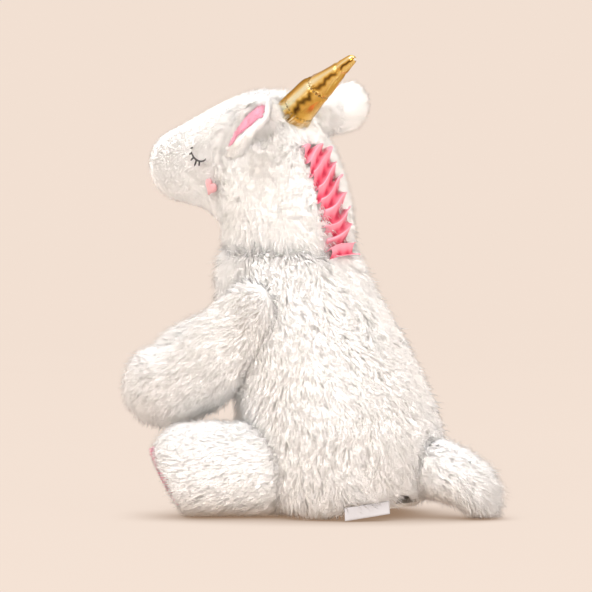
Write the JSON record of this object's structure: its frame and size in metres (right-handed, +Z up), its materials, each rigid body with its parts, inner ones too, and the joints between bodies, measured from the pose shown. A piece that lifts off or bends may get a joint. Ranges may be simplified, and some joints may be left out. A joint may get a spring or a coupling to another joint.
{
  "type": "plush unicorn toy",
  "caption": "Seated white plush unicorn with a gold fabric horn, a gathered ribbon mane, sewn limbs that flex at their seams, floppy ears and a short tail.",
  "frame": {"origin": "centre of the flat underside of the seat, on the surface that the toy sits on", "axes": "+Z up, -Y the way the body faces, +X the toy's own left"},
  "size_m": [0.1936, 0.2756, 0.3197],
  "materials": {
    "dark_thread": "embroidered satin stitch",
    "gold_fabric": "crinkled metallic cloth",
    "gold_thread": "twisted thread",
    "label_tape": "smooth woven tape",
    "pink_felt": "short soft nap",
    "pink_ribbon": "satin",
    "pouch_cloth": "plain weave",
    "stuffing_fibre": "loose matt fibre",
    "white_plush": "long soft pile",
    "white_thread": "twisted thread"
  },
  "bodies": {
    "torso": {"torso_cover": "white_plush", "torso_stuffing": "stuffing_fibre", "pellet_pouch": "pouch_cloth", "side_label": "label_tape"},
    "neck": {"neck_thread": "white_thread"},
    "head": {"head_cover": "white_plush", "head_stuffing": "stuffing_fibre", "horn_cover": "gold_fabric", "horn_stuffing": "stuffing_fibre", "horn_thread": "gold_thread", "mane_ribbon": "pink_ribbon", "left_eye": "dark_thread", "right_eye": "dark_thread", "left_cheek": "pink_felt", "right_cheek": "pink_felt"},
    "left_ear": {"left_ear_back": "white_plush", "left_ear_lining": "pink_felt"},
    "right_ear": {"right_ear_back": "white_plush", "right_ear_lining": "pink_felt"},
    "left_arm": {"left_arm_cover": "white_plush", "left_arm_stuffing": "stuffing_fibre"},
    "right_arm": {"right_arm_cover": "white_plush", "right_arm_stuffing": "stuffing_fibre"},
    "left_leg": {"left_leg_cover": "white_plush", "left_leg_stuffing": "stuffing_fibre", "left_sole": "pink_felt"},
    "right_leg": {"right_leg_cover": "white_plush", "right_leg_stuffing": "stuffing_fibre", "right_sole": "pink_felt"},
    "tail": {"tail_cover": "white_plush", "tail_stuffing": "stuffing_fibre"}
  },
  "joints": [
    {"name": "neck_turn", "type": "hinge", "parent": "torso", "child": "neck", "pos_m": [0, -0.041, 0.145], "axis": [0, 0, 1], "range_deg": [-25, 25]},
    {"name": "neck_nod", "type": "hinge", "parent": "neck", "child": "head", "pos_m": [0, -0.041, 0.145], "axis": [0.9336, -0.3584, 0], "range_deg": [-10, 18]},
    {"name": "left_ear_flop", "type": "hinge", "parent": "head", "child": "left_ear", "pos_m": [0.03059, -0.0506, 0.28], "axis": [0.3244, -0.7452, 0.5826], "range_deg": [-20, 20]},
    {"name": "right_ear_flop", "type": "hinge", "parent": "head", "child": "right_ear", "pos_m": [-0.02916, -0.02767, 0.28], "axis": [0.349, 0.9145, -0.2047], "range_deg": [-20, 20]},
    {"name": "left_shoulder", "type": "hinge", "parent": "torso", "child": "left_arm", "pos_m": [0.055, -0.046, 0.143], "axis": [-0.9613, 0.2756, 0], "range_deg": [-1, 30]},
    {"name": "right_shoulder", "type": "hinge", "parent": "torso", "child": "right_arm", "pos_m": [-0.055, -0.046, 0.143], "axis": [-0.9613, -0.2756, 0], "range_deg": [-1, 30]},
    {"name": "left_hip", "type": "hinge", "parent": "torso", "child": "left_leg", "pos_m": [0.042, -0.038, 0.033], "axis": [0, 0, 1], "range_deg": [-4, 15]},
    {"name": "right_hip", "type": "hinge", "parent": "torso", "child": "right_leg", "pos_m": [-0.042, -0.038, 0.033], "axis": [0, 0, -1], "range_deg": [-4, 15]},
    {"name": "tail_wag", "type": "hinge", "parent": "torso", "child": "tail", "pos_m": [0, 0.054, 0.037], "axis": [0, 0, 1], "range_deg": [-25, 25]}
  ]
}
